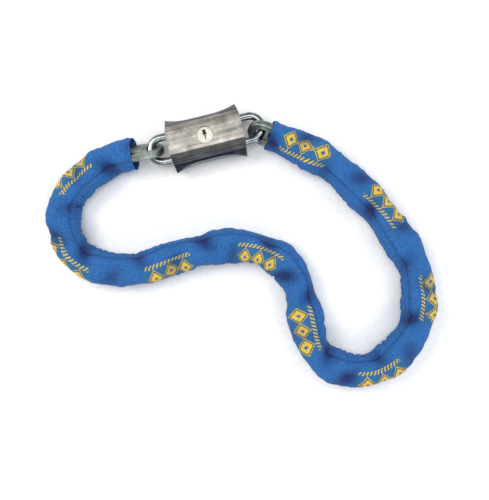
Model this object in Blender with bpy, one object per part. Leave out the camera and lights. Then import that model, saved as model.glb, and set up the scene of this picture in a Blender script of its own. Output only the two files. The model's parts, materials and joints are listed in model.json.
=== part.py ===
"""Chain lock: a bow-tie steel lock body with two round-wire bows, a pin cylinder that
throws two bolts through a scroll cam, and a loop of square-section links in a fabric sleeve.

Metres, +Z up through the keyhole face, +X along the lock body towards the bow that comes
out, origin at the middle of the body's back face.
"""
import math

import bmesh
import bpy
from mathutils import Matrix, Vector

MM = 0.001

# lock body, outside
BODY_LENGTH = 80.4 * MM
BODY_HEIGHT = 38.0 * MM
FACE_WIDTH = 23.6 * MM          # flat keyhole face between its two chamfers
FACE_CHAMFER = 3.9 * MM         # chamfer width, and its drop is a little more
FACE_CHAMFER_DROP = 4.3 * MM
FLARE_WIDTH = 58.4 * MM         # across the tips at both ends
FLARE_Z = 18.0 * MM             # height of the widest edge
WAIST_WIDTH = 46.6 * MM         # across the scallops
WAIST_FLAT = 24.0 * MM          # straight middle run of each scallop
TIP_INSET = 1.5 * MM            # how far the tips stand back from the end plane
BACK_WIDTH = 30.0 * MM
BACK_CHAMFER = 3.5 * MM
COVER_DEPTH = 10.0 * MM         # from the face to the joint between rear shell and front cover
WALL = 2.8 * MM
FLOOR = 3.0 * MM

# clearances
GAP = 0.3 * MM                  # between pieces that lie against each other
RUN_GAP = 0.2 * MM              # between a moving piece and its guide

# bows
BOW_WIRE = 8.4 * MM
BOW_CENTRES = 26.4 * MM         # between the two legs' axes
BOW_REACH = 25.8 * MM           # how far the crown stands out of the body's end
BOW_GRIP = 28.2 * MM            # leg length inside the body
BOW_Z = 15.9 * MM
NOTCH_DEPTH = 3.8 * MM
NOTCH_LENGTH = 6.8 * MM
NOTCH_FROM_TIP = 3.0 * MM
RETAINING_PIN = 2.8 * MM
RETAINING_PIN_FROM_TIP = 8.0 * MM

# cylinder
CYLINDER_DIAMETER = 17.3 * MM
PLUG_DIAMETER = 14.8 * MM
CYLINDER_BACK_Z = 15.5 * MM
CYLINDER_RECESS = 0.2 * MM
PLUG_RECESS = 0.5 * MM
PLUG_BACK_Z = 13.2 * MM
PIN_DIAMETER = 2.6 * MM
PIN_SPACING = 3.5 * MM
FIRST_PIN_DEPTH = 8.7 * MM
KEY_PIN_LENGTHS = (5.1 * MM, 4.3 * MM, 4.7 * MM, 3.9 * MM)
DRIVER_LENGTH = 2.8 * MM
SPRING_LENGTH = 3.0 * MM
SPRING_WIRE = 0.45 * MM
SPRING_TURNS = 4
TAIL_WALL = 0.9 * MM
CLIP_THICKNESS = 0.8 * MM
DRIVE_DIAMETER = 5.2 * MM
DRIVE_FLAT = 3.8 * MM

# scroll cam and bolts
BOLT_TRAVEL = 4.0 * MM          # for one turn of the key
FOLLOWER_DIAMETER = 1.8 * MM
FOLLOWER_START = 5.0 * MM       # radius of the upper bolt's follower, drawn back
CAM_THICKNESS = 4.0 * MM
CAM_WEB = 1.5 * MM
CAM_Z = 8.7 * MM
BOLT_THICKNESS = 4.8 * MM
BOLT_WIDTH = 5.6 * MM

# body rivets
RIVET_DIAMETER = 5.0 * MM
RIVET_HEAD = 7.0 * MM
RIVET_X = 27.0 * MM

# chain
LINK_COUNT = 28
LINK_THICKNESS = 8.0 * MM
LINK_EDGE = 1.8 * MM            # chamfer on the square section's edges
LINK_INNER_WIDTH = 15.6 * MM
LINK_SLACK = 5.4 * MM           # free play at each crossing
LINK_ROLL = 45.0
END_LINK_ROLLS = (59.0, 41.0, 47.0)

# sleeve
SLEEVE_WALL = 0.85 * MM
SLEEVE_SIDE_ROOM = 4.5 * MM     # from the links' edges to the fabric, each side
SLEEVE_TOP_ROOM = 2.2 * MM
SLEEVE_START = 27.0 * MM        # path length from the first crossing to the hem
SLEEVE_END = 12.0 * MM
SLEEVE_SQUARENESS = 4.5

# the loop's route between the two crossings with the bows, seen from above, laid for
# bows whose crowns stand this far out; its ends move with them
ROUTE_CROWN_X = 48.6 * MM
ROUTE_MM = (
    (-80, 5), (-98, 4), (-114, 1), (-131, -4.5), (-150, -14.5), (-166, -31),
    (-174.5, -52), (-173.5, -74.5), (-163, -94.5), (-145, -109), (-123, -117),
    (-99.5, -119.5), (-75.5, -118), (-51.5, -115.5), (-27.5, -115), (-3.5, -117.5),
    (19, -123.5), (38, -133.5), (51.5, -151.5), (59.5, -174.5), (59.5, -197.5),
    (56.5, -220.5), (56.5, -243), (63.5, -262.5), (78, -277), (98.5, -285),
    (121.5, -285), (144, -277), (162.5, -262.5), (176, -243.5), (184, -222),
    (186.5, -198.5), (183, -175), (176, -152), (166.5, -130), (156, -108),
    (144, -87), (130.5, -67.5), (116, -50), (99, -34.5), (79, -20.5),
)

# derived sizes
HALF_LENGTH = BODY_LENGTH / 2
PARTING_Z = BODY_HEIGHT - COVER_DEPTH
RIDGE_Y = FACE_WIDTH / 2 + FACE_CHAMFER
RIDGE_Z = BODY_HEIGHT - FACE_CHAMFER_DROP
BACK_RIDGE_Y = BACK_WIDTH / 2 + BACK_CHAMFER
BOW_RADIUS = BOW_WIRE / 2
BORE_RADIUS = BOW_RADIUS + RUN_GAP
LEG_Y = BOW_CENTRES / 2
LEG_TIP_X = HALF_LENGTH - BOW_GRIP
CROWN_CENTRE_X = HALF_LENGTH + BOW_REACH - BOW_RADIUS - LEG_Y
CORE_HALF_LENGTH = HALF_LENGTH - WALL - GAP
BOLT_REST_Y = LEG_Y - BOW_RADIUS - GAP
NOTCH_X = LEG_TIP_X + NOTCH_FROM_TIP
PLUG_RADIUS = PLUG_DIAMETER / 2
CYLINDER_RADIUS = CYLINDER_DIAMETER / 2
PIN_RADIUS = PIN_DIAMETER / 2
CHAMBER_RADIUS = PIN_RADIUS + GAP / 2
FIRST_PIN_Z = BODY_HEIGHT - FIRST_PIN_DEPTH
CHAMBER_END_Y = PLUG_RADIUS + GAP / 2 + DRIVER_LENGTH + SPRING_LENGTH + 2 * GAP
TAIL_Y = CHAMBER_END_Y + TAIL_WALL
FOLLOWER_STEP = BOLT_TRAVEL / (2 * math.pi)
GROOVE_HALF = FOLLOWER_DIAMETER / 2 + RUN_GAP
FOLLOWER_END = FOLLOWER_START + 1.5 * BOLT_TRAVEL
CAM_RADIUS = FOLLOWER_END + GROOVE_HALF + 0.9 * MM
BOLT_TOP_Z = FLOOR + GAP + BOLT_THICKNESS
LINK_HALF_OUTER = LINK_INNER_WIDTH / 2 + LINK_THICKNESS


def clear_scene():
    for obj in list(bpy.data.objects):
        bpy.data.objects.remove(obj, do_unlink=True)


def srgb(hex_code):
    """Colour of a hex code as the renderer's linear values."""
    out = []
    for place in (0, 2, 4):
        value = int(hex_code[place:place + 2], 16) / 255
        low = value / 12.92
        high = ((value + 0.055) / 1.055) ** 2.4
        out.append(low if value <= 0.04045 else high)
    return (*out, 1.0)


def material(name, hex_code, metallic, roughness):
    mat = bpy.data.materials.get(name) or bpy.data.materials.new(name)
    mat.use_nodes = True
    shader = mat.node_tree.nodes["Principled BSDF"]
    shader.inputs["Base Color"].default_value = srgb(hex_code)
    shader.inputs["Metallic"].default_value = metallic
    shader.inputs["Roughness"].default_value = roughness
    return mat


def finish(name, bm, mat, origin=(0, 0, 0)):
    """Turn a bmesh in world coordinates into an object with its origin on its joint."""
    bmesh.ops.remove_doubles(bm, verts=bm.verts, dist=1e-6)
    bmesh.ops.recalc_face_normals(bm, faces=bm.faces)
    bmesh.ops.translate(bm, verts=bm.verts, vec=-Vector(origin))
    mesh = bpy.data.meshes.new(name)
    bm.to_mesh(mesh)
    bm.free()
    mesh.materials.append(mat)
    mesh.shade_smooth()
    mesh.set_sharp_from_angle(angle=math.radians(32))
    obj = bpy.data.objects.new(name, mesh)
    obj.location = origin
    bpy.context.scene.collection.objects.link(obj)
    return obj


def prism(outline, low, high, axis="Z"):
    """A closed outline pushed along an axis: (x, y) for Z, (y, z) for X, (x, z) for Y."""
    place = {
        "Z": lambda a, b, c: (a, b, c),
        "X": lambda a, b, c: (c, a, b),
        "Y": lambda a, b, c: (a, c, b),
    }[axis]
    bm = bmesh.new()
    bottom = [bm.verts.new(place(a, b, low)) for a, b in outline]
    top = [bm.verts.new(place(a, b, high)) for a, b in outline]
    bm.faces.new(bottom)
    bm.faces.new(top)
    count = len(outline)
    for i in range(count):
        j = (i + 1) % count
        bm.faces.new((bottom[i], bottom[j], top[j], top[i]))
    return bm


def block(x0, x1, y0, y1, z0, z1):
    return prism(((x0, y0), (x1, y0), (x1, y1), (x0, y1)), z0, z1)


def circle(radius, sides, centre=(0, 0), start=0.0):
    points = []
    for i in range(sides):
        angle = start + 2 * math.pi * i / sides
        points.append((centre[0] + radius * math.cos(angle), centre[1] + radius * math.sin(angle)))
    return points


def round_bar(radius, low, high, axis, centre, sides=24):
    """Round bar along an axis; its flats lie outside the circle by half a facet's sagitta."""
    return prism(circle(radius, sides, centre), low, high, axis)


def cut(obj, *cutters):
    """Cut closed shapes out of an object, one exact Boolean each, and apply them."""
    for bm in cutters:
        apply_boolean(obj, bm, "DIFFERENCE")


def join(obj, *extras):
    for bm in extras:
        apply_boolean(obj, bm, "UNION")


def apply_boolean(obj, bm, operation):
    bmesh.ops.recalc_face_normals(bm, faces=bm.faces)
    mesh = bpy.data.meshes.new("cutter")
    bm.to_mesh(mesh)
    bm.free()
    cutter = bpy.data.objects.new("cutter", mesh)
    bpy.context.scene.collection.objects.link(cutter)
    modifier = obj.modifiers.new("cut", "BOOLEAN")
    modifier.operation = operation
    modifier.solver = "EXACT"
    modifier.object = cutter
    bpy.context.view_layer.update()
    depsgraph = bpy.context.evaluated_depsgraph_get()
    result = bpy.data.meshes.new_from_object(obj.evaluated_get(depsgraph))
    obj.modifiers.clear()
    old = obj.data
    obj.data = result
    bpy.data.meshes.remove(old)
    bpy.data.objects.remove(cutter, do_unlink=True)
    bpy.data.meshes.remove(mesh)
    result.shade_smooth()
    result.set_sharp_from_angle(angle=math.radians(32))


# ---------------------------------------------------------------- lock body

def body_section(inset=0.0):
    """Half section of the body, (y, z) from the front face down to the back face."""
    slope = (FLARE_WIDTH / 2 - RIDGE_Y) / (RIDGE_Z - FLARE_Z)
    back_slope = (FLARE_WIDTH / 2 - BACK_RIDGE_Y) / (FLARE_Z - BACK_CHAMFER)
    side = inset * math.hypot(1, slope)
    back_side = inset * math.hypot(1, back_slope)
    return [
        (FACE_WIDTH / 2 - inset * 0.4, BODY_HEIGHT - inset),
        (RIDGE_Y - side + inset * 0.3, RIDGE_Z - inset * 0.3),
        (FLARE_WIDTH / 2 - (side + back_side) / 2, FLARE_Z),
        (BACK_RIDGE_Y - back_side, BACK_CHAMFER),
        (BACK_WIDTH / 2 - inset, inset),
    ]


def side_y(z, inset=0.0):
    """Half width of the body's section at a height."""
    points = body_section(inset)
    for (y0, z0), (y1, z1) in zip(points, points[1:]):
        if z1 <= z <= z0:
            return y0 + (y1 - y0) * (z0 - z) / (z0 - z1)
    return points[-1][0]


def slab_section(low, high, inset=0.0):
    """The part of the section between two heights, as a closed (y, z) outline."""
    middle = [p for p in body_section(inset) if low + 1e-6 < p[1] < high - 1e-6]
    half = [(side_y(high, inset), high)] + middle + [(side_y(low, inset), low)]
    return half + [(-y, z) for y, z in reversed(half)]


def scallop(sign, inset=0.0):
    """Cutter for the hollow waist: a straight run with an arc out to each tip."""
    depth = (FLARE_WIDTH - WAIST_WIDTH) / 2
    run = HALF_LENGTH - TIP_INSET - WAIST_FLAT / 2
    radius = (run ** 2 + depth ** 2) / (2 * depth)
    base = WAIST_WIDTH / 2 - inset
    outline = []
    steps = 7
    for i in range(steps, -1, -1):
        along = (run + 4 * MM) * i / steps
        rise = radius - math.sqrt(radius ** 2 - along ** 2)
        outline.append((-WAIST_FLAT / 2 - along, sign * (base + rise)))
    outline += [(-x, y) for x, y in reversed(outline)]
    outline += [(HALF_LENGTH * 1.2, sign * FLARE_WIDTH), (-HALF_LENGTH * 1.2, sign * FLARE_WIDTH)]
    return prism(outline, -MM, BODY_HEIGHT + MM)


def tip_trim(sign, end):
    """Cutter that leans each end's outer corners back towards the tips."""
    x = end * HALF_LENGTH
    outline = (
        (x + end * MM * 2, sign * RIDGE_Y),
        (x + end * 0.001 * MM, sign * RIDGE_Y),
        (x - end * TIP_INSET, sign * FLARE_WIDTH / 2),
        (x - end * TIP_INSET * 1.3, sign * FLARE_WIDTH * 0.56),
        (x + end * MM * 2, sign * FLARE_WIDTH * 0.56),
    )
    return prism(outline, -MM, BODY_HEIGHT + MM)


def shape_outside(obj):
    for sign in (1, -1):
        cut(obj, scallop(sign))
        for end in (1, -1):
            cut(obj, tip_trim(sign, end))


def make_rear_shell(steel):
    bm = prism(slab_section(0.0, PARTING_Z - GAP / 2), -HALF_LENGTH, HALF_LENGTH, "X")
    obj = finish("rear_shell", bm, steel)
    shape_outside(obj)
    room = core_outline(GAP)
    hollow = prism(room, -CORE_HALF_LENGTH - GAP, CORE_HALF_LENGTH + GAP, "X")
    cut(obj, hollow)
    for end in (1, -1):
        for side in (1, -1):
            ends = sorted((end * (HALF_LENGTH + MM), end * (CORE_HALF_LENGTH - MM)))
            cut(obj, round_bar(BORE_RADIUS, *ends, "X", (side * LEG_Y, BOW_Z)))
    for end in (1, -1):
        head = round_bar(RIVET_HEAD / 2 + GAP / 2, -MM, FLOOR / 2, "Z", (end * RIVET_X, 0))
        shank = round_bar(RIVET_DIAMETER / 2 + GAP / 2, -MM, FLOOR + MM, "Z", (end * RIVET_X, 0))
        cut(obj, head, shank)


def make_front_cover(steel):
    bm = prism(slab_section(PARTING_Z + GAP / 2, BODY_HEIGHT), -HALF_LENGTH, HALF_LENGTH, "X")
    obj = finish("front_cover", bm, steel)
    shape_outside(obj)
    hollow = prism(core_outline(GAP), -CORE_HALF_LENGTH - GAP, CORE_HALF_LENGTH + GAP, "X")
    cut(obj, hollow)
    cut(obj, round_bar(CYLINDER_RADIUS + GAP, PARTING_Z, BODY_HEIGHT + MM, "Z", (0, 0), 40))


def core_outline(grow=0.0):
    """The core's (y, z) outline; the shell and the cover are hollowed to it plus a gap."""
    low = FLOOR + GAP - grow
    high = BODY_HEIGHT - WALL - 2 * GAP + grow
    waist = WAIST_WIDTH / 2 - WALL - GAP + grow
    upper = []
    steps = ((high, 0), (RIDGE_Z - WALL, 0), (FLARE_Z, 0), (BACK_CHAMFER + WALL / 2, 0), (low, 0))
    for z, _ in steps:
        upper.append((min(waist, side_y(z, WALL + GAP - grow) - GAP / 2), z))
    knee_high = find_height(waist, grow, True)
    knee_low = find_height(waist, grow, False)
    half = [upper[0], upper[1], (waist, knee_high), (waist, knee_low), upper[3], upper[4]]
    return half + [(-y, z) for y, z in reversed(half)]


def find_height(waist, grow, above):
    """Height where the slanted inner side reaches the waist's half width."""
    low, high = (FLARE_Z, RIDGE_Z - WALL) if above else (BACK_CHAMFER + WALL / 2, FLARE_Z)
    for _ in range(40):
        middle = (low + high) / 2
        wide = side_y(middle, WALL + GAP - grow) - GAP / 2 > waist
        if wide == above:
            low = middle
        else:
            high = middle
    return (low + high) / 2


def make_lock_core(zinc):
    obj = finish("lock_core", prism(core_outline(), -CORE_HALF_LENGTH, CORE_HALF_LENGTH, "X"), zinc)
    for end in (1, -1):
        for side in (1, -1):
            reach = sorted((end * (LEG_TIP_X - GAP), end * (HALF_LENGTH + MM)))
            cut(obj, round_bar(BORE_RADIUS, *reach, "X", (side * LEG_Y, BOW_Z)))
    top = BODY_HEIGHT + MM
    cut(obj, round_bar(CYLINDER_RADIUS + GAP / 2, CAM_Z, top, "Z", (0, 0), 40))
    cut(obj, prism(tail_outline(GAP), -tail_half() - GAP / 2, tail_half() + GAP / 2, "X"))
    cam_low, cam_high = CAM_Z - GAP, CAM_Z + CAM_THICKNESS + GAP
    cut(obj, round_bar(CAM_RADIUS + GAP, cam_low, cam_high, "Z", (0, 0), 40))
    reach_y = BOLT_REST_Y + BOLT_TRAVEL + GAP
    x0, x1 = -GROOVE_HALF - 2.4 * MM, NOTCH_X + NOTCH_LENGTH - GAP
    cut(obj, block(x0, x1, -reach_y, reach_y, -MM, CAM_Z - GAP / 2))
    tooth_x = NOTCH_X - RUN_GAP
    cut(obj, block(tooth_x, x1, -reach_y, reach_y, FLOOR, BOW_Z + BOW_RADIUS - GAP))
    for end in (1, -1):
        cut(obj, round_bar(RIVET_DIAMETER / 2 + GAP / 2, -MM, top, "Z", (end * RIVET_X, 0)))
    for side in (1, -1):
        cut(obj, retaining_hole(side, FLOOR + 2.2 * MM, BOW_Z + BOW_RADIUS + 3.4 * MM))


def retaining_hole(side, low, high):
    x = -LEG_TIP_X - RETAINING_PIN_FROM_TIP
    return round_bar(RETAINING_PIN / 2 + RUN_GAP, low, high, "Z", (x, side * LEG_Y), 16)


def make_retaining_pins(steel):
    x = -LEG_TIP_X - RETAINING_PIN_FROM_TIP
    for side, name in ((1, "retaining_pin_upper"), (-1, "retaining_pin_lower")):
        low = FLOOR + 2.6 * MM
        high = BOW_Z + BOW_RADIUS + 3.0 * MM
        finish(name, round_bar(RETAINING_PIN / 2, low, high, "Z", (x, side * LEG_Y), 12), steel)


def make_body_rivets(steel):
    for end, name in ((-1, "body_rivet_left"), (1, "body_rivet_right")):
        x = end * RIVET_X
        head_top = FLOOR / 2 - GAP
        top = BODY_HEIGHT - WALL - 2 * GAP
        obj = finish(name, round_bar(RIVET_HEAD / 2, GAP, head_top, "Z", (x, 0), 20), steel)
        join(obj, round_bar(RIVET_DIAMETER / 2, GAP + 0.2 * MM, top, "Z", (x, 0), 16))


# --------------------------------------------------------------------- bows

def bow_path(end):
    """Centre line of a bow: leg, half circle, leg, all in the plane of the two bores."""
    points = [(end * LEG_TIP_X, LEG_Y)]
    steps = 12
    for i in range(steps + 1):
        angle = math.pi / 2 - math.pi * i / steps
        x = CROWN_CENTRE_X + LEG_Y * math.cos(angle)
        points.append((end * x, LEG_Y * math.sin(angle)))
    points.append((end * LEG_TIP_X, -LEG_Y))
    return [Vector((x, y, BOW_Z)) for x, y in points]


def sweep(path, section, ups, closed):
    """Carry a section of (side, up) pairs along a path, square to it at every point."""
    bm = bmesh.new()
    count = len(path)
    rings = []
    for i, point in enumerate(path):
        before = path[i - 1] if (i or closed) else path[0]
        after = path[(i + 1) % count] if (i < count - 1 or closed) else path[-1]
        into = (point - before).normalized() if before != point else (after - point).normalized()
        out = (after - point).normalized() if after != point else into
        along = (into + out).normalized()
        up = (ups[i] - along * ups[i].dot(along)).normalized()
        side = along.cross(up)
        stretch = 1 / max(0.6, along.dot(out))
        ring = [bm.verts.new(point + side * a * stretch + up * b) for a, b in section]
        rings.append(ring)
    sides = len(section)
    spans = count if closed else count - 1
    for i in range(spans):
        ring, following = rings[i], rings[(i + 1) % count]
        for k in range(sides):
            m = (k + 1) % sides
            bm.faces.new((ring[k], ring[m], following[m], following[k]))
    if not closed:
        bm.faces.new(rings[0])
        bm.faces.new(rings[-1])
    return bm


def make_bow(name, end, chrome, origin):
    path = bow_path(end)
    ups = [Vector((0, 0, 1))] * len(path)
    return finish(name, sweep(path, circle(BOW_RADIUS, 16, start=math.pi / 16), ups, False), chrome, origin)


def make_fixed_bow(chrome):
    obj = make_bow("fixed_bow", -1, chrome, (0, 0, 0))
    for side in (1, -1):
        cut(obj, retaining_hole(side, 0, BODY_HEIGHT))


def make_removable_bow(chrome, pivot):
    obj = make_bow("removable_bow", 1, chrome, pivot)
    inner = LEG_Y - BOW_RADIUS
    for side in (1, -1):
        ys = sorted((side * (inner - MM), side * (inner + NOTCH_DEPTH + GAP)))
        notch = block(NOTCH_X - RUN_GAP, NOTCH_X + NOTCH_LENGTH, *ys, 0, BODY_HEIGHT)
        bmesh.ops.translate(notch, verts=notch.verts, vec=Vector((0, 0, 0)))
        cut(obj, notch)


# ----------------------------------------------------------------- cylinder

def tail_half():
    return PIN_RADIUS + 2.4 * MM


def tail_outline(grow=0.0):
    """The pin chamber's (y, z) outline below the plug, bevelled to clear the cover."""
    top = FIRST_PIN_Z + PIN_RADIUS + 1.6 * MM
    outer = -TAIL_Y - grow
    bevel_z = top - 2.2 * MM
    low = CYLINDER_BACK_Z - grow
    return ((-4 * MM, low), (outer, low), (outer, bevel_z), (outer + 2 * MM, top + grow), (-4 * MM, top + grow))


def pin_heights():
    return [FIRST_PIN_Z - i * PIN_SPACING for i in range(len(KEY_PIN_LENGTHS))]


def make_cylinder_housing(brass):
    front = BODY_HEIGHT - CYLINDER_RECESS
    obj = finish("cylinder_housing", round_bar(CYLINDER_RADIUS, CYLINDER_BACK_Z, front, "Z", (0, 0), 40), brass)
    join(obj, prism(tail_outline(), -tail_half(), tail_half(), "X"))
    cut(obj, round_bar(PLUG_RADIUS + GAP / 2, CYLINDER_BACK_Z - MM, front + MM, "Z", (0, 0), 40))
    for z in pin_heights():
        cut(obj, round_bar(CHAMBER_RADIUS, -CHAMBER_END_Y, -PLUG_RADIUS + MM, "Y", (0, z), 16))


def keyway_outline():
    """Zigzag keyway seen from the front: broad at the top, stepped and narrow below."""
    points = (
        (-1.5, 6.1), (1.3, 6.1), (1.7, 5.2), (1.7, 2.4), (2.6, 1.7), (2.4, 1.0), (0.9, 0.6),
        (1.1, -1.2), (0.6, -4.1), (-0.6, -4.1), (-0.7, -1.4), (-0.5, 0.4), (-2.2, 1.4),
        (-2.3, 2.1), (-1.3, 2.6), (-1.7, 5.0),
    )
    return [(x * MM, y * MM) for x, y in points]


def make_cylinder_plug(nickel):
    front = BODY_HEIGHT - PLUG_RECESS
    obj = finish("cylinder_plug", round_bar(PLUG_RADIUS, PLUG_BACK_Z + 1.9 * MM, front, "Z", (0, 0), 40), nickel)
    neck = round_bar(PLUG_RADIUS - 2.2 * MM, PLUG_BACK_Z, PLUG_BACK_Z + 3 * MM, "Z", (0, 0), 32)
    join(obj, neck, drive_tail(0.0, CAM_Z + GAP, PLUG_BACK_Z + MM))
    cut(obj, prism(keyway_outline(), pin_heights()[-1] - 2.6 * MM, front + MM))
    for z in pin_heights():
        cut(obj, round_bar(CHAMBER_RADIUS, -PLUG_RADIUS - MM, -0.7 * MM, "Y", (0, z), 16))


def drive_tail(grow, low, high):
    """Round drive with two flats that turns the cam."""
    radius = DRIVE_DIAMETER / 2 + grow
    half = DRIVE_FLAT / 2 + grow
    outline = [(x, max(-half, min(half, y))) for x, y in circle(radius, 24)]
    return prism(outline, low, high)


def make_plug_clip(steel):
    """Open ring that sits on the plug's neck behind the housing."""
    low = PLUG_BACK_Z + 0.7 * MM
    outer = PLUG_RADIUS + 0.1 * MM
    inner = PLUG_RADIUS - 2.2 * MM + GAP / 2
    obj = finish("plug_clip", round_bar(outer, low, low + CLIP_THICKNESS, "Z", (0, 0), 32), steel)
    cut(obj, round_bar(inner, 0, BODY_HEIGHT, "Z", (0, 0), 32))
    cut(obj, block(-2.4 * MM, 2.4 * MM, inner * 0.5, outer + MM, 0, BODY_HEIGHT))


def make_pins(brass, steel):
    """Key pins in the plug, driver pins and springs in the housing, one stack per depth."""
    drop_line = -PLUG_RADIUS + 0.05 * MM
    for i, z in enumerate(pin_heights()):
        number = i + 1
        length = KEY_PIN_LENGTHS[i]
        origin = (0, drop_line, z)
        bm = round_bar(PIN_RADIUS, drop_line, drop_line + length, "Y", (0, z), 12)
        finish(f"key_pin_{number}", bm, brass, origin)
        start = -PLUG_RADIUS - GAP / 2 - DRIVER_LENGTH
        bm = round_bar(PIN_RADIUS, start, start + DRIVER_LENGTH, "Y", (0, z), 12)
        finish(f"driver_pin_{number}", bm, steel, (0, start, z))
        coil = pin_spring(start - GAP, z)
        finish(f"pin_spring_{number}", coil, steel, (0, start - GAP, z))


def pin_spring(top, z):
    """Coil along Y below a driver pin."""
    steps = SPRING_TURNS * 8
    radius = PIN_RADIUS - SPRING_WIRE / 2
    low = top - SPRING_LENGTH + SPRING_WIRE
    path = []
    for i in range(steps + 1):
        angle = 2 * math.pi * i / 8
        y = low + (top - SPRING_WIRE / 2 - low) * i / steps
        path.append(Vector((radius * math.cos(angle), y, z + radius * math.sin(angle))))
    ups = [Vector((0, 1, 0))] * len(path)
    return sweep(path, circle(SPRING_WIRE / 2, 5), ups, False)


# ------------------------------------------------------------ cam and bolts

def make_scroll_cam(steel):
    """Disc with a spiral groove in its underside and a flatted hole for the plug's drive."""
    top = CAM_Z + CAM_THICKNESS
    obj = finish("scroll_cam", round_bar(CAM_RADIUS, CAM_Z, top, "Z", (0, 0), 48), steel)
    cut(obj, drive_tail(GAP / 2, CAM_Z - MM, top + MM))
    cut(obj, spiral_groove(CAM_Z - MM, top - CAM_WEB))


def spiral_groove(low, high):
    start, stop, step = 108, -468, -8
    outer = []
    inner = []
    for degrees in range(start, stop - 1, step):
        angle = math.radians(degrees)
        radius = FOLLOWER_START + FOLLOWER_STEP * (math.pi / 2 - angle)
        outer.append(((radius + GROOVE_HALF) * math.cos(angle), (radius + GROOVE_HALF) * math.sin(angle)))
        inner.append(((radius - GROOVE_HALF) * math.cos(angle), (radius - GROOVE_HALF) * math.sin(angle)))
    bm = bmesh.new()
    count = len(outer)
    low_out = [bm.verts.new((x, y, low)) for x, y in outer]
    low_in = [bm.verts.new((x, y, low)) for x, y in inner]
    high_out = [bm.verts.new((x, y, high)) for x, y in outer]
    high_in = [bm.verts.new((x, y, high)) for x, y in inner]
    for i in range(count - 1):
        j = i + 1
        bm.faces.new((low_out[i], low_out[j], low_in[j], low_in[i]))
        bm.faces.new((high_out[i], high_in[i], high_in[j], high_out[j]))
        bm.faces.new((low_out[i], high_out[i], high_out[j], low_out[j]))
        bm.faces.new((low_in[i], low_in[j], high_in[j], high_in[i]))
    for i in (0, count - 1):
        bm.faces.new((low_out[i], low_in[i], high_in[i], high_out[i]))
    return bm


def make_bolt(name, side, follower_y, steel):
    """Plate under the cam with a follower stud, and a tooth that stands up beside the leg."""
    outer = side * BOLT_REST_Y
    inner = side * (BOLT_REST_Y - BOLT_WIDTH)
    ys = sorted((outer, inner))
    x0 = -FOLLOWER_DIAMETER / 2 - 2.0 * MM
    x1 = NOTCH_X + NOTCH_LENGTH - 2 * GAP
    bm = block(x0, x1, *ys, FLOOR + GAP, BOLT_TOP_Z)
    obj = finish(name, bm, steel, (0, outer, FLOOR + GAP))
    tooth_ys = sorted((outer, side * (BOLT_REST_Y - NOTCH_DEPTH - 0.4 * MM)))
    tooth_top = BOW_Z + BOW_RADIUS - 2 * GAP
    join(obj, block(NOTCH_X + RUN_GAP, x1, *tooth_ys, FLOOR + 2 * GAP, tooth_top))
    stud_top = CAM_Z + CAM_THICKNESS - CAM_WEB - GAP
    join(obj, round_bar(FOLLOWER_DIAMETER / 2, FLOOR + MM, stud_top, "Z", (0, follower_y), 12))


# -------------------------------------------------------------------- chain

def route():
    """The loop's own points, drawn out at each end as far as the crowns have moved."""
    moved = CROWN_CENTRE_X - ROUTE_CROWN_X
    last = len(ROUTE_MM) - 1
    return [Vector((x * MM + moved * (2 * k / last - 1), y * MM)) for k, (x, y) in enumerate(ROUTE_MM)]


def crossing(end):
    """Where the end link bears on a bow: on the crown's inside, towards the chain's pull."""
    first = route()[0 if end < 0 else -1]
    centre = Vector((end * CROWN_CENTRE_X, 0))
    pull = (first - centre).normalized()
    return centre + pull * (LEG_Y - BOW_RADIUS)


def smooth_route():
    """Dense smooth curve through the route's own points, from crossing to crossing."""
    points = [crossing(-1)] + route() + [crossing(1)]
    points = [2 * points[0] - points[1]] + points + [2 * points[-1] - points[-2]]
    dense = []
    for a, b, c, d in zip(points, points[1:], points[2:], points[3:]):
        for k in range(24):
            t = k / 24
            value = b * 2 + (c - a) * t + (a * 2 - b * 5 + c * 4 - d) * t ** 2
            value += (b * 3 - a - c * 3 + d) * t ** 3
            dense.append(value / 2)
    dense.append(points[-2])
    return dense


def step_along(dense, pitch):
    """Pivots one pitch apart in a straight line, walked along the route."""
    pivots = [dense[0]]
    index = 0
    while index < len(dense) - 1 and len(pivots) <= LINK_COUNT:
        here = pivots[-1]
        while index < len(dense) - 1 and (dense[index + 1] - here).length < pitch:
            index += 1
        if index >= len(dense) - 1:
            break
        a, b = dense[index], dense[index + 1]
        low, high = 0.0, 1.0
        for _ in range(30):
            middle = (low + high) / 2
            if (a.lerp(b, middle) - here).length < pitch:
                low = middle
            else:
                high = middle
        pivots.append(a.lerp(b, high))
    return pivots


def link_pivots():
    """The crossings' places: the pitch that puts the last of them on the second bow."""
    dense = smooth_route()
    low, high = 0.01, 0.08
    for _ in range(50):
        pitch = (low + high) / 2
        pivots = step_along(dense, pitch)
        if len(pivots) > LINK_COUNT:
            low = pitch
        else:
            high = pitch
    pivots = step_along(dense, low)[:LINK_COUNT + 1]
    pivots[-1] = dense[-1]
    return pivots, low


def link_rolls():
    """Roll of each link about the chain's line, alternating, steeper next to the bows."""
    rolls = []
    for i in range(LINK_COUNT):
        from_end = min(i, LINK_COUNT - 1 - i)
        size = END_LINK_ROLLS[from_end] if from_end < len(END_LINK_ROLLS) else LINK_ROLL
        rolls.append(size if i % 2 == 0 else -size)
    return rolls


def link_section():
    half = LINK_THICKNESS / 2
    flat = half - LINK_EDGE
    return (
        (half, flat), (flat, half), (-flat, half), (-half, flat),
        (-half, -flat), (-flat, -half), (flat, -half), (half, -flat),
    )


def link_path(pitch):
    """Centre line of one link lying flat, its long way on X."""
    radius = (LINK_INNER_WIDTH + LINK_THICKNESS) / 2
    half = (pitch + LINK_SLACK + LINK_THICKNESS) / 2 - radius
    points = []
    steps = 6
    for end in (1, -1):
        for i in range(steps + 1):
            angle = -math.pi / 2 + math.pi * i / steps
            points.append(Vector((end * (half + radius * math.cos(angle)), end * radius * math.sin(angle), 0)))
    return points


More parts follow.
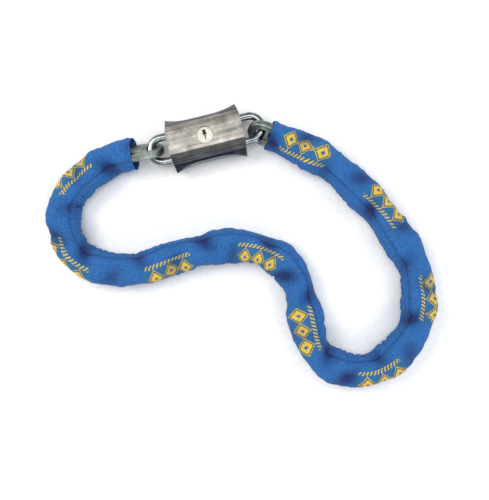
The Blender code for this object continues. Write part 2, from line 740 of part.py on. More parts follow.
def make_links(zinc):
    pivots, pitch = link_pivots()
    path = link_path(pitch)
    ups = [Vector((0, 0, 1))] * len(path)
    for i, roll in enumerate(link_rolls()):
        a, b = pivots[i], pivots[i + 1]
        bm = sweep(path, link_section(), ups, True)
        turn = Matrix.Rotation(math.atan2(b.y - a.y, b.x - a.x), 4, "Z")
        turn = turn @ Matrix.Rotation(math.radians(roll), 4, "X")
        middle = (a + b) / 2
        bmesh.ops.transform(bm, matrix=turn, verts=bm.verts)
        bmesh.ops.translate(bm, vec=Vector((middle.x, middle.y, BOW_Z)), verts=bm.verts)
        finish(f"chain_link_{i + 1:02d}", bm, zinc, (a.x, a.y, BOW_Z))
    return pivots


# ------------------------------------------------------------------- sleeve

def sleeve_line(pivots):
    """Smooth line midway between the links' middles and their crossings."""
    knots = []
    for i in range(len(pivots) - 1):
        a, b = pivots[i], pivots[i + 1]
        before = (pivots[i - 1] + a) / 2 if i else a
        knots.append((a + (before + (a + b) / 2) / 2) / 2 if i else a)
        knots.append((a + b) / 2)
    knots.append(pivots[-1])
    knots = [2 * knots[0] - knots[1]] + knots + [2 * knots[-1] - knots[-2]]
    dense = []
    for a, b, c, d in zip(knots, knots[1:], knots[2:], knots[3:]):
        for k in range(8):
            t = k / 8
            value = b * 2 + (c - a) * t + (a * 2 - b * 5 + c * 4 - d) * t ** 2
            value += (b * 3 - a - c * 3 + d) * t ** 3
            dense.append(value / 2)
    dense.append(knots[-2])
    return dense


def even_points(dense, start, stop, count):
    """Points at even path lengths along a dense line, from start to stop before its end."""
    lengths = [0.0]
    for a, b in zip(dense, dense[1:]):
        lengths.append(lengths[-1] + (b - a).length)
    targets = [start + (lengths[-1] - stop - start) * i / (count - 1) for i in range(count)]
    points = []
    index = 0
    for target in targets:
        while index < len(lengths) - 2 and lengths[index + 1] < target:
            index += 1
        span = lengths[index + 1] - lengths[index]
        points.append(dense[index].lerp(dense[index + 1], (target - lengths[index]) / span))
    return points


def sleeve_half_sizes():
    """Outer half width and half height of the sleeve, taken from the links inside it."""
    roll = math.radians(LINK_ROLL)
    reach = LINK_HALF_OUTER * math.sin(roll) + (LINK_THICKNESS / 2 - LINK_EDGE) * math.cos(roll)
    return reach + SLEEVE_SIDE_ROOM + SLEEVE_WALL, reach + SLEEVE_TOP_ROOM + SLEEVE_WALL


def soft_square(half_width, half_height, sides=16):
    points = []
    for i in range(sides):
        angle = 2 * math.pi * (i + 0.5) / sides
        c, s = math.cos(angle), math.sin(angle)
        power = SLEEVE_SQUARENESS
        size = (abs(c) ** power + abs(s) ** power) ** (-1 / power)
        points.append((half_width * size * c, half_height * size * s))
    return points


def make_fabric_sleeve(fabric, pivots):
    dense = sleeve_line(pivots)
    line = even_points(dense, SLEEVE_START, SLEEVE_END, 61)
    path = [Vector((p.x, p.y, BOW_Z)) for p in line]
    ups = [Vector((0, 0, 1))] * len(path)
    half_width, half_height = sleeve_half_sizes()
    bm = sweep(path, soft_square(half_width, half_height), ups, False)
    obj = finish("fabric_sleeve", bm, fabric)
    first = path[0] + (path[0] - path[1]).normalized() * MM
    last = path[-1] + (path[-1] - path[-2]).normalized() * MM
    inner_path = [first] + path[1:-1] + [last]
    inside = soft_square(half_width - SLEEVE_WALL, half_height - SLEEVE_WALL)
    cut(obj, sweep(inner_path, inside, ups, False))


# ---------------------------------------------------------------- the model

def build():
    clear_scene()
    shell_steel = material("brushed_cover_steel", "A39F98", 0.9, 0.38)
    dark_steel = material("hardened_shell_steel", "6E6E74", 0.9, 0.42)
    chrome = material("chromed_bow", "D9DDDC", 1.0, 0.12)
    zinc_link = material("zinc_plated_link", "8F9891", 0.9, 0.45)
    zinc_core = material("die_cast_zinc", "9C9E9F", 0.8, 0.55)
    nickel = material("nickel_plug", "DAD6C8", 0.9, 0.25)
    brass = material("pin_brass", "B99A55", 0.9, 0.35)
    spring_steel = material("spring_steel", "8A8C8F", 0.9, 0.35)
    fabric = material("blue_sleeve_fabric", "1F5FA8", 0.0, 0.9)

    make_rear_shell(dark_steel)
    make_front_cover(shell_steel)
    make_lock_core(zinc_core)
    make_body_rivets(spring_steel)
    make_fixed_bow(chrome)
    make_retaining_pins(spring_steel)
    make_cylinder_housing(nickel)
    make_cylinder_plug(nickel)
    make_plug_clip(spring_steel)
    make_pins(brass, spring_steel)
    make_scroll_cam(spring_steel)
    make_bolt("upper_bolt", 1, FOLLOWER_START, spring_steel)
    make_bolt("lower_bolt", -1, -(FOLLOWER_START + BOLT_TRAVEL / 2), spring_steel)
    pivots = make_links(zinc_link)
    last = pivots[-1]
    make_removable_bow(chrome, (last.x, last.y, BOW_Z))
    make_fabric_sleeve(fabric, pivots)


build()
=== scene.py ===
import json
import math

import bmesh
import bpy
import numpy as np
from mathutils import Matrix, Vector
from mathutils.bvhtree import BVHTree

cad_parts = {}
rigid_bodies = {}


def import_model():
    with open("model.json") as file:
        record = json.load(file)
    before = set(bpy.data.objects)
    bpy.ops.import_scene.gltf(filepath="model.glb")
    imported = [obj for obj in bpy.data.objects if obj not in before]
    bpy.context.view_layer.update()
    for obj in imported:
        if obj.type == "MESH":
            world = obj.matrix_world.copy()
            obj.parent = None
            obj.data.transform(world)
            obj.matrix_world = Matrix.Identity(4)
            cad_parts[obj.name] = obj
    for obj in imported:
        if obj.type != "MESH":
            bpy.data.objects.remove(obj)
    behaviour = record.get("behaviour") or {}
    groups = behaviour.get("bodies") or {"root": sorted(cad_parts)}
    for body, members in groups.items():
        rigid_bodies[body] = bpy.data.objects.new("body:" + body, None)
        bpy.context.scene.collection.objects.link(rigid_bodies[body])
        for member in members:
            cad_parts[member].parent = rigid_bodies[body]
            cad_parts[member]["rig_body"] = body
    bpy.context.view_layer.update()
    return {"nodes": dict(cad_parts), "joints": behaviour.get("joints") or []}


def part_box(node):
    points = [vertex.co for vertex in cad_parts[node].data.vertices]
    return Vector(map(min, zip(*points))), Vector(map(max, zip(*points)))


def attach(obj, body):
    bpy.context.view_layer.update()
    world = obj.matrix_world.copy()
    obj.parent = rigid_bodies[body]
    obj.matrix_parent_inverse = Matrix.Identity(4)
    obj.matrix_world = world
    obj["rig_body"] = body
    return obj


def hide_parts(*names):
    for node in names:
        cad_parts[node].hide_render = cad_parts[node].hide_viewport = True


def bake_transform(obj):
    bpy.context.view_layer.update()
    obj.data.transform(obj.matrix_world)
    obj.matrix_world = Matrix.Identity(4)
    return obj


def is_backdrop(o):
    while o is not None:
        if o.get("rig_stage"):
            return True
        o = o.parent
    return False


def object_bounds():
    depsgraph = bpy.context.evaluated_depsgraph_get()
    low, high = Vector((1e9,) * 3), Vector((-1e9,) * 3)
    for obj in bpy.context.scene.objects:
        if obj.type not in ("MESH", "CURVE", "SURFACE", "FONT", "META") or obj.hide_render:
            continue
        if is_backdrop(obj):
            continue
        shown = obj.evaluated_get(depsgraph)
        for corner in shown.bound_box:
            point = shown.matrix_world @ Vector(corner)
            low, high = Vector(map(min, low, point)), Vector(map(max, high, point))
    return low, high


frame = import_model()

MM = 0.001
scene = bpy.context.scene
nodes = frame["nodes"]

# ---------------------------------------------------------------- camera
# The lock lies on its back and is looked at from straight above, turned a
# little so that its body slopes up to the right.
EYE = Vector((11.4, -126.5, 650.0)) * MM
LENS_MM = 42.2
TURN_DEG = -13.9

eye = bpy.data.cameras.new("eye")
eye.lens = LENS_MM
eye.sensor_width = 36.0
eye.clip_start = 0.01
eye.clip_end = 50.0
eye_holder = bpy.data.objects.new("eye", eye)
eye_holder.location = EYE
eye_holder.rotation_euler = (0.0, 0.0, math.radians(TURN_DEG))
scene.collection.objects.link(eye_holder)
scene.camera = eye_holder


# --------------------------------------------------------- floor and light
# A white matt table top under large softboxes, as in a catalogue.
# The box lights hang high, so the brushed faces turn to grey and the bows glint.
FLOOR_SIDE = 3.2
FLOOR_DROP = 0.2 * MM


def linear(hex_code):
    """An sRGB hex colour as linear red, green, blue and alpha."""
    values = [int(hex_code[i:i + 2], 16) / 255 for i in (0, 2, 4)]
    curve = [c / 12.92 if c <= 0.04045 else ((c + 0.055) / 1.055) ** 2.4 for c in values]
    return (*curve, 1.0)


def add(mat, kind, inputs=(), stops=(), **settings):
    """Adds one node to a material, with its settings, its values or links, and its colour stops."""
    node = mat.node_tree.nodes.new("ShaderNode" + kind)
    for name, value in settings.items():
        setattr(node, name, value)
    for place, (position, colour) in enumerate(stops):
        stop = node.color_ramp.elements[place] if place < 2 else node.color_ramp.elements.new(position)
        stop.position = position
        stop.color = colour
    for socket, value in dict(inputs).items():
        if isinstance(value, bpy.types.NodeSocket):
            mat.node_tree.links.new(value, node.inputs[socket])
        else:
            node.inputs[socket].default_value = value
    return node


def new_finish(name, metallic, roughness, base="808080"):
    """A named material and its shader, with the values that are the same all over."""
    mat = bpy.data.materials.new(name)
    mat.use_nodes = True
    shader = mat.node_tree.nodes["Principled BSDF"]
    shader.inputs["Base Color"].default_value = linear(base)
    shader.inputs["Metallic"].default_value = metallic
    shader.inputs["Roughness"].default_value = roughness
    return mat, shader


def deselect():
    if bpy.context.mode != "OBJECT":
        bpy.ops.object.mode_set(mode="OBJECT")
    bpy.ops.object.select_all(action="DESELECT")


deselect()
bpy.ops.mesh.primitive_plane_add(size=FLOOR_SIDE, location=(0.01, -0.13, -FLOOR_DROP))
table_top = bpy.context.object
table_top.name = "table_top"
bpy.ops.object.transform_apply(location=True)
paper, shader = new_finish("white_table_paper", 0.0, 0.9, "F4F4F2")
spot = add(paper, "TexCoord")
fibre = add(paper, "TexNoise", {"Vector": spot.outputs["Object"], "Scale": 220.0, "Detail": 4.0})
tone = add(paper, "ValToRGB", {"Fac": fibre.outputs["Fac"]},
           [(0.3, linear("EFEFED")), (0.7, linear("F8F8F7"))])
paper.node_tree.links.new(tone.outputs["Color"], shader.inputs["Base Color"])
table_top.data.materials.append(paper)
table_top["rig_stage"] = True

sky = bpy.data.worlds.new("studio")
sky.use_nodes = True
sky.node_tree.nodes["Background"].inputs["Color"].default_value = linear("E4E8EC")
sky.node_tree.nodes["Background"].inputs["Strength"].default_value = 0.55
scene.world = sky
scene.view_settings.view_transform = "Standard"


def softbox(name, place, aim, size, watts, colour):
    lamp = bpy.data.lights.new(name, "AREA")
    lamp.shape = "RECTANGLE"
    lamp.size = size[0]
    lamp.size_y = size[1]
    lamp.energy = watts
    lamp.color = linear(colour)[:3]
    holder = bpy.data.objects.new(name, lamp)
    holder.location = place
    holder.rotation_mode = "QUATERNION"
    holder.rotation_quaternion = (Vector(aim) - Vector(place)).to_track_quat("-Z", "Y")
    scene.collection.objects.link(holder)


softbox("key_box", (-0.75, 0.55, 1.15), (0.0, -0.1, 0.0), (0.9, 0.6), 11.0, "FFFAF2")
softbox("fill_box", (0.95, 0.1, 0.9), (0.0, -0.1, 0.0), (0.6, 1.1), 5.5, "F2F6FF")
softbox("front_box", (0.1, -1.15, 0.8), (0.0, -0.1, 0.0), (1.2, 0.35), 5.0, "FFFFFF")
softbox("top_box", (-0.1, 0.05, 1.35), (0.0, -0.1, 0.0), (0.8, 0.5), 5.0, "FFFFFF")


# ---------------------------------------------------- body: cover and shell
# The cover is a folded sheet-steel front, brushed along its length and lacquered.
# The shell behind it is darker hardened steel, and both meet at a thin parting line.
COVER_EDGE = 0.45 * MM
SHELL_EDGE = 0.5 * MM
BRUSH_MM = 0.22        # spacing of the brush lines; drawn coarse enough to show


def worked_copy(node, edge, segments=2, bend=24.0):
    """The node's shape with its edges broken as tools leave them. It stands for the node."""
    deselect()
    source = nodes[node]
    piece = bpy.data.objects.new(node + "_made", source.data.copy())
    piece.data.materials.clear()
    scene.collection.objects.link(piece)
    bpy.context.view_layer.objects.active = piece
    piece.select_set(True)
    bpy.ops.object.mode_set(mode="EDIT")
    bpy.ops.mesh.select_all(action="SELECT")
    bpy.ops.mesh.remove_doubles(threshold=0.004 * MM)
    bpy.ops.mesh.dissolve_limited(angle_limit=math.radians(0.6))
    bpy.ops.object.mode_set(mode="OBJECT")
    if edge:
        worn = piece.modifiers.new("broken_edges", "BEVEL")
        worn.width = edge
        worn.segments = segments
        worn.limit_method = "ANGLE"
        worn.angle_limit = math.radians(bend)
        worn.use_clamp_overlap = True
        worn.harden_normals = False
        bpy.ops.object.modifier_apply(modifier=worn.name)
    bpy.ops.object.shade_smooth_by_angle(angle=math.radians(32))
    level = piece.modifiers.new("flat_faces", "WEIGHTED_NORMAL")
    level.keep_sharp = True
    bpy.ops.object.modifier_apply(modifier=level.name)
    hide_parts(node)
    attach(piece, source["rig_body"])
    return piece


def brushed_steel(name, dark, mid, light, roughness, tint):
    """Sheet steel brushed along X: long fine scratches, slow bands of tone, tinted stains."""
    mat, shader = new_finish(name, 1.0, roughness)
    shader.inputs["Anisotropic"].default_value = 0.5
    spot = add(mat, "TexCoord")
    line = add(mat, "Mapping", {"Vector": spot.outputs["Object"], "Scale": (14.0, 1 / (BRUSH_MM * MM),
            1 / (BRUSH_MM * MM))})
    scratch = add(mat, "TexNoise", {"Vector": line.outputs["Vector"], "Scale": 1.0, "Detail": 3.0,
                                    "Roughness": 0.6})
    slow = add(mat, "Mapping", {"Vector": spot.outputs["Object"], "Scale": (9.0, 180.0, 180.0)})
    band = add(mat, "TexNoise", {"Vector": slow.outputs["Vector"], "Scale": 1.0, "Detail": 2.0})
    mottle = add(mat, "TexNoise", {"Vector": spot.outputs["Object"], "Scale": 60.0, "Detail": 5.0,
                                   "Roughness": 0.65})
    both = add(mat, "Math", {0: scratch.outputs["Fac"], 1: band.outputs["Fac"]}, operation="ADD")
    three = add(mat, "Math", {0: both.outputs[0], 1: mottle.outputs["Fac"]}, operation="ADD")
    share = add(mat, "MapRange", {"Value": three.outputs[0], "From Min": 1.15, "From Max": 1.85})
    tone = add(mat, "ValToRGB", {"Fac": share.outputs["Result"]},
               [(0.0, linear(dark)), (1.0, linear(light)), (0.5, linear(mid))])
    stain = add(mat, "TexNoise", {"Vector": spot.outputs["Object"], "Scale": 26.0, "Detail": 3.0})
    where = add(mat, "MapRange", {"Value": stain.outputs["Fac"], "From Min": 0.52, "From Max": 0.75,
                                  "To Max": 0.45})
    dyed = add(mat, "Mix", {"Factor": where.outputs["Result"], "A": tone.outputs["Color"],
                            "B": linear(tint)}, data_type="RGBA")
    rough = add(mat, "MapRange", {"Value": scratch.outputs["Fac"], "From Min": 0.3, "From Max": 0.7,
                                  "To Min": roughness - 0.08, "To Max": roughness + 0.12})
    bump = add(mat, "Bump", {"Height": scratch.outputs["Fac"], "Strength": 0.22, "Distance": 0.05 * MM})
    links = mat.node_tree.links
    links.new(dyed.outputs["Result"], shader.inputs["Base Color"])
    links.new(rough.outputs["Result"], shader.inputs["Roughness"])
    links.new(bump.outputs["Normal"], shader.inputs["Normal"])
    return mat


cover_steel = brushed_steel("brushed_stainless_cover", "4A4743", "7F7B75", "B5B0A8", 0.33, "5A5248")
cover = worked_copy("front_cover", COVER_EDGE)
cover.data.materials.append(cover_steel)

shell_steel = brushed_steel("hardened_steel_shell", "30323A", "54565E", "8C8D92", 0.34, "33384A")
shell = worked_copy("rear_shell", SHELL_EDGE)
shell.data.materials.append(shell_steel)


# ------------------------------------------------------------- body rivets
# Two headed steel rivets hold the shell to the core, turned and then blacked.
# Only their heads show, flush in the back.
rivet_steel, shader = new_finish("turned_rivet_steel", 1.0, 0.38, "85878A")
spot = add(rivet_steel, "TexCoord")
grit = add(rivet_steel, "TexNoise", {"Vector": spot.outputs["Object"], "Scale": 900.0, "Detail": 4.0})
tone = add(rivet_steel, "ValToRGB", {"Fac": grit.outputs["Fac"]},
           [(0.3, linear("6C6E72")), (0.7, linear("9B9DA0"))])
rough = add(rivet_steel, "MapRange", {"Value": grit.outputs["Fac"], "To Min": 0.28, "To Max": 0.5})
bump = add(rivet_steel, "Bump", {"Height": grit.outputs["Fac"], "Strength": 0.15, "Distance": 0.04 * MM})
rivet_steel.node_tree.links.new(tone.outputs["Color"], shader.inputs["Base Color"])
rivet_steel.node_tree.links.new(rough.outputs["Result"], shader.inputs["Roughness"])
rivet_steel.node_tree.links.new(bump.outputs["Normal"], shader.inputs["Normal"])
for side in ("left", "right"):
    rivet = worked_copy("body_rivet_" + side, 0.25 * MM)
    rivet.data.materials.append(rivet_steel)


# ---------------------------------------------------------------- lock core
# A zinc die casting that fills the shell and carries the bores.
# The skin is dull and slightly pitted, as it leaves the die.
cast_zinc, shader = new_finish("die_cast_zinc", 0.9, 0.5, "9C9E9F")
spot = add(cast_zinc, "TexCoord")
pit = add(cast_zinc, "TexNoise", {"Vector": spot.outputs["Object"], "Scale": 700.0, "Detail": 6.0,
                                  "Roughness": 0.7})
cloud = add(cast_zinc, "TexNoise", {"Vector": spot.outputs["Object"], "Scale": 45.0, "Detail": 3.0})
tone = add(cast_zinc, "ValToRGB", {"Fac": cloud.outputs["Fac"]},
           [(0.3, linear("7F8284")), (0.7, linear("A6A8A8"))])
rough = add(cast_zinc, "MapRange", {"Value": pit.outputs["Fac"], "To Min": 0.4, "To Max": 0.7})
bump = add(cast_zinc, "Bump", {"Height": pit.outputs["Fac"], "Strength": 0.3, "Distance": 0.08 * MM})
cast_zinc.node_tree.links.new(tone.outputs["Color"], shader.inputs["Base Color"])
cast_zinc.node_tree.links.new(rough.outputs["Result"], shader.inputs["Roughness"])
cast_zinc.node_tree.links.new(bump.outputs["Normal"], shader.inputs["Normal"])
core = worked_copy("lock_core", 0.0)
core.data.materials.append(cast_zinc)


# -------------------------------------------------------------------- bows
# Two U-shaped bows of hardened round wire, bent hot, polished and chrome plated.
# The fixed one is pinned in the body; the other is notched for the bolts and pulls out.
WIRE = 8.4 * MM
LEG_APART = 26.4 * MM
BEND_X = 48.6 * MM
LEG_TIP_X = 12.0 * MM
BOW_Z = 15.9 * MM
NOTCH = (14.8 * MM, 22.0 * MM, 4.0 * MM)

bow_chrome, shader = new_finish("polished_chrome_plate", 1.0, 0.2, "8F9595")
spot = add(bow_chrome, "TexCoord")
smear = add(bow_chrome, "TexNoise", {"Vector": spot.outputs["Object"], "Scale": 120.0, "Detail": 5.0,
                                     "Roughness": 0.6})
scuff = add(bow_chrome, "TexNoise", {"Vector": spot.outputs["Object"], "Scale": 1500.0, "Detail": 3.0})
tone = add(bow_chrome, "ValToRGB", {"Fac": smear.outputs["Fac"]},
           [(0.35, linear("70767A")), (0.65, linear("A4A9AB"))])
rough = add(bow_chrome, "MapRange", {"Value": smear.outputs["Fac"], "From Min": 0.35, "From Max": 0.7,
                                     "To Min": 0.14, "To Max": 0.3})
bump = add(bow_chrome, "Bump", {"Height": scuff.outputs["Fac"], "Strength": 0.06, "Distance": 0.03 * MM})
bow_chrome.node_tree.links.new(tone.outputs["Color"], shader.inputs["Base Color"])
bow_chrome.node_tree.links.new(rough.outputs["Result"], shader.inputs["Roughness"])
bow_chrome.node_tree.links.new(bump.outputs["Normal"], shader.inputs["Normal"])


def edit_all():
    bpy.ops.object.mode_set(mode="EDIT")
    bpy.ops.mesh.select_all(action="SELECT")


def take_from(piece, tool):
    """Cuts the tool's shape out of the piece and throws the tool away."""
    deselect()
    bpy.context.view_layer.objects.active = piece
    piece.select_set(True)
    cut = piece.modifiers.new("cut", "BOOLEAN")
    cut.object = tool
    cut.operation = "DIFFERENCE"
    cut.solver = "EXACT"
    bpy.ops.object.modifier_apply(modifier=cut.name)
    bpy.data.objects.remove(tool)


def bent_bow(name, end):
    """One bow on the +X or -X end: a leg, the half-turn crown, the other leg, tips rounded."""
    deselect()
    leg = LEG_APART / 2
    bpy.ops.mesh.primitive_circle_add(vertices=40, radius=WIRE / 2, fill_type="NOTHING",
                                      location=(LEG_TIP_X + 1.2 * MM, -leg, BOW_Z),
                                      rotation=(0, math.pi / 2, 0))
    bow = bpy.context.object
    bow.name = name
    bpy.ops.object.transform_apply(location=True, rotation=True)
    edit_all()
    bpy.ops.mesh.extrude_region_move(TRANSFORM_OT_translate={"value": (BEND_X - LEG_TIP_X - 1.2 * MM, 0, 0)})
    bpy.ops.mesh.spin(steps=40, angle=math.pi, center=(BEND_X, 0, BOW_Z), axis=(0, 0, -1))
    bpy.ops.mesh.extrude_region_move(TRANSFORM_OT_translate={"value": (LEG_TIP_X + 1.2 * MM - BEND_X, 0, 0)})
    for y in (leg, -leg):
        bpy.ops.object.mode_set(mode="OBJECT")
        for v in bow.data.vertices:
            v.select = abs(v.co.x - LEG_TIP_X - 1.2 * MM) < 0.01 * MM and v.co.y * y > 0
        bpy.ops.object.mode_set(mode="EDIT")
        bpy.ops.mesh.select_mode(type="VERT")
        for step, scale in ((0.7 * MM, 0.93), (0.4 * MM, 0.86), (0.1 * MM, 0.8)):
            bpy.ops.mesh.extrude_region_move(TRANSFORM_OT_translate={"value": (-step, 0, 0)})
            bpy.ops.transform.resize(value=(1, scale, scale), center_override=(0, y, BOW_Z))
        bpy.ops.mesh.edge_face_add()
    bpy.ops.mesh.select_all(action="SELECT")
    bpy.ops.mesh.remove_doubles(threshold=0.001 * MM)
    bpy.ops.mesh.normals_make_consistent(inside=False)
    if end < 0:
        bpy.ops.transform.resize(value=(-1, 1, 1), center_override=(0, 0, 0))
        bpy.ops.mesh.flip_normals()
    bpy.ops.object.mode_set(mode="OBJECT")
    for face in bow.data.polygons:
        face.use_smooth = True
    return bow


removable = bent_bow("removable_bow_made", 1)
for y in (1, -1):
    deselect()
    depth = NOTCH[2]
    bpy.ops.mesh.primitive_cube_add(size=1,
                                    location=((NOTCH[0] + NOTCH[1]) / 2,
                                              y * (LEG_APART / 2 - WIRE / 2 + depth / 2 - 2 * MM), BOW_Z),
                                    scale=(NOTCH[1] - NOTCH[0], depth + 4 * MM, WIRE * 1.4))
    tool = bpy.context.object
    edit_all()
    bpy.ops.mesh.bevel(offset=0.5 * MM, segments=2)
    bpy.ops.object.mode_set(mode="OBJECT")
    take_from(removable, tool)
fixed = bent_bow("fixed_bow_made", -1)
for bow, node, body in ((removable, "removable_bow", "removable_bow"), (fixed, "fixed_bow", "lock")):
    deselect()
    bpy.context.view_layer.objects.active = bow
    bow.select_set(True)
    bpy.ops.object.shade_smooth_by_angle(angle=math.radians(40))
    bow.data.materials.append(bow_chrome)
    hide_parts(node)
    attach(bow, body)


# ---------------------------------------------------------- cylinder and plug
# The housing and the plug are turned brass, nickel plated, with fine lathe rings
# round the keyhole. The keyway is broached through the plug.
RING_MM = 0.35         # spacing of the lathe rings

nickel, shader = new_finish("turned_nickel_plate", 1.0, 0.34, "B4B1A6")
spot = add(nickel, "TexCoord")
flat = add(nickel, "VectorMath", {0: spot.outputs["Object"], 1: (1.0, 1.0, 0.0)}, operation="MULTIPLY")
away = add(nickel, "VectorMath", {0: flat.outputs["Vector"]}, operation="LENGTH")
turn = add(nickel, "Math", {0: away.outputs["Value"], 1: 2 * math.pi / (RING_MM * MM)}, operation="MULTIPLY")
ring = add(nickel, "Math", {0: turn.outputs[0]}, operation="SINE")
wear = add(nickel, "TexNoise", {"Vector": spot.outputs["Object"], "Scale": 500.0, "Detail": 4.0})
tone = add(nickel, "ValToRGB", {"Fac": wear.outputs["Fac"]},
           [(0.3, linear("98958A")), (0.7, linear("C4C1B6"))])
rough = add(nickel, "MapRange", {"Value": wear.outputs["Fac"], "To Min": 0.28, "To Max": 0.5})
bump = add(nickel, "Bump", {"Height": ring.outputs[0], "Strength": 0.1, "Distance": 0.02 * MM})
nickel.node_tree.links.new(tone.outputs["Color"], shader.inputs["Base Color"])
nickel.node_tree.links.new(rough.outputs["Result"], shader.inputs["Roughness"])
nickel.node_tree.links.new(bump.outputs["Normal"], shader.inputs["Normal"])
for node, edge in (("cylinder_housing", 0.2 * MM), ("cylinder_plug", 0.12 * MM)):
    piece = worked_copy(node, edge)
    piece.data.materials.append(nickel)


# ------------------------------------------------------------- inner works
# Clip, cam, bolts, retaining pins and driver pins are hardened steel, ground and oiled.
# Key pins are turned brass, and the springs are drawn music wire.
tool_steel, shader = new_finish("ground_tool_steel", 1.0, 0.32, "8A8C8F")
spot = add(tool_steel, "TexCoord")
grind = add(tool_steel, "Mapping", {"Vector": spot.outputs["Object"], "Scale": (60.0, 2500.0, 2500.0)})
mark = add(tool_steel, "TexNoise", {"Vector": grind.outputs["Vector"], "Scale": 1.0, "Detail": 3.0})
tone = add(tool_steel, "ValToRGB", {"Fac": mark.outputs["Fac"]},
           [(0.3, linear("717376")), (0.7, linear("A2A4A6"))])
rough = add(tool_steel, "MapRange", {"Value": mark.outputs["Fac"], "To Min": 0.24, "To Max": 0.46})
bump = add(tool_steel, "Bump", {"Height": mark.outputs["Fac"], "Strength": 0.12, "Distance": 0.03 * MM})
tool_steel.node_tree.links.new(tone.outputs["Color"], shader.inputs["Base Color"])
tool_steel.node_tree.links.new(rough.outputs["Result"], shader.inputs["Roughness"])
tool_steel.node_tree.links.new(bump.outputs["Normal"], shader.inputs["Normal"])

pin_brass, shader = new_finish("turned_pin_brass", 1.0, 0.28, "B99A55")
spot = add(pin_brass, "TexCoord")
ring = add(pin_brass, "TexWave", {"Vector": spot.outputs["Object"], "Scale": 700.0, "Distortion": 0.4},
           bands_direction="Y")
wear = add(pin_brass, "TexNoise", {"Vector": spot.outputs["Object"], "Scale": 800.0, "Detail": 3.0})
tone = add(pin_brass, "ValToRGB", {"Fac": wear.outputs["Fac"]},
           [(0.3, linear("9C7E3E")), (0.7, linear("CDAF68"))])
bump = add(pin_brass, "Bump", {"Height": ring.outputs["Fac"], "Strength": 0.1, "Distance": 0.02 * MM})
pin_brass.node_tree.links.new(tone.outputs["Color"], shader.inputs["Base Color"])
pin_brass.node_tree.links.new(bump.outputs["Normal"], shader.inputs["Normal"])

inner_steel = ["retaining_pin_upper", "retaining_pin_lower", "plug_clip", "scroll_cam", "upper_bolt",
               "lower_bolt"]
inner_steel += ["driver_pin_%d" % i for i in range(1, 5)] + ["pin_spring_%d" % i for i in range(1, 5)]
for node in inner_steel:
    nodes[node].data.materials.clear()
    nodes[node].data.materials.append(tool_steel)
for i in range(1, 5):
    nodes["key_pin_%d" % i].data.materials.clear()
    nodes["key_pin_%d" % i].data.materials.append(pin_brass)


# ------------------------------------------------------------- chain links
# Hardened alloy-steel links of square bar, bent round, butt welded on one side and
# zinc plated with a dull greenish passivation. They hang crossed, each on the next.
BAR = 8.0 * MM
BAR_EDGE = 1.8 * MM
LINK_TURN = 11.8 * MM         # radius of the end bends, at the bar's middle
LINK_RUN = 11.96 * MM         # from the link's middle to the start of a bend
LINK_ROLLS = [59, -41, 47] + [-45, 45] * 11 + [-47, 41, -59]

link_zinc, shader = new_finish("zinc_plated_chain_steel", 0.95, 0.42, "8B948C")
spot = add(link_zinc, "TexCoord")
crystal = add(link_zinc, "TexVoronoi", {"Vector": spot.outputs["Object"], "Scale": 420.0, "Randomness": 1.0})
cloud = add(link_zinc, "TexNoise", {"Vector": spot.outputs["Object"], "Scale": 130.0, "Detail": 6.0,
                                    "Roughness": 0.7})
dirt = add(link_zinc, "TexNoise", {"Vector": spot.outputs["Object"], "Scale": 320.0, "Detail": 5.0,
                                   "Roughness": 0.75})
tone = add(link_zinc, "ValToRGB", {"Fac": cloud.outputs["Fac"]},
           [(0.28, linear("545E58")), (0.72, linear("B9C0B6")), (0.5, linear("88918A"))])
grime = add(link_zinc, "MapRange", {"Value": dirt.outputs["Fac"], "From Min": 0.55, "From Max": 0.75,
                                    "To Max": 0.5})
soiled = add(link_zinc, "Mix", {"Factor": grime.outputs["Result"], "A": tone.outputs["Color"],
                                "B": linear("4A4E48")}, data_type="RGBA")
rough = add(link_zinc, "MapRange", {"Value": dirt.outputs["Fac"], "From Min": 0.3, "From Max": 0.7,
                                    "To Min": 0.26, "To Max": 0.6})
lumps = add(link_zinc, "Math", {0: cloud.outputs["Fac"], 1: crystal.outputs["Distance"]}, operation="ADD")
bump = add(link_zinc, "Bump", {"Height": lumps.outputs[0], "Strength": 0.4, "Distance": 0.25 * MM})
link_zinc.node_tree.links.new(soiled.outputs["Result"], shader.inputs["Base Color"])
link_zinc.node_tree.links.new(rough.outputs["Result"], shader.inputs["Roughness"])
link_zinc.node_tree.links.new(bump.outputs["Normal"], shader.inputs["Normal"])

deselect()
bpy.ops.mesh.primitive_plane_add(size=BAR, location=(LINK_RUN, -LINK_TURN, 0), rotation=(0, math.pi / 2, 0))
pattern_link = bpy.context.object
pattern_link.name = "pattern_link"
bpy.ops.object.transform_apply(location=True, rotation=True)
edit_all()
bpy.ops.mesh.delete(type="ONLY_FACE")
bpy.ops.mesh.select_all(action="SELECT")
bpy.ops.mesh.spin(steps=14, angle=math.pi, center=(LINK_RUN, 0, 0), axis=(0, 0, -1))
for step in range(6):
    bpy.ops.mesh.extrude_region_move(TRANSFORM_OT_translate={"value": (-LINK_RUN / 3, 0, 0)})
bpy.ops.mesh.spin(steps=14, angle=math.pi, center=(-LINK_RUN, 0, 0), axis=(0, 0, -1))
bpy.ops.mesh.extrude_region_move(TRANSFORM_OT_translate={"value": (2 * LINK_RUN, 0, 0)})
bpy.ops.mesh.select_all(action="SELECT")
bpy.ops.mesh.remove_doubles(threshold=0.01 * MM)
bpy.ops.mesh.normals_make_consistent(inside=False)
bpy.ops.object.mode_set(mode="OBJECT")
edge = pattern_link.modifiers.new("rolled_edges", "BEVEL")
edge.width = BAR_EDGE
edge.segments = 3
edge.limit_method = "ANGLE"
edge.angle_limit = math.radians(50)
bpy.ops.object.modifier_apply(modifier=edge.name)
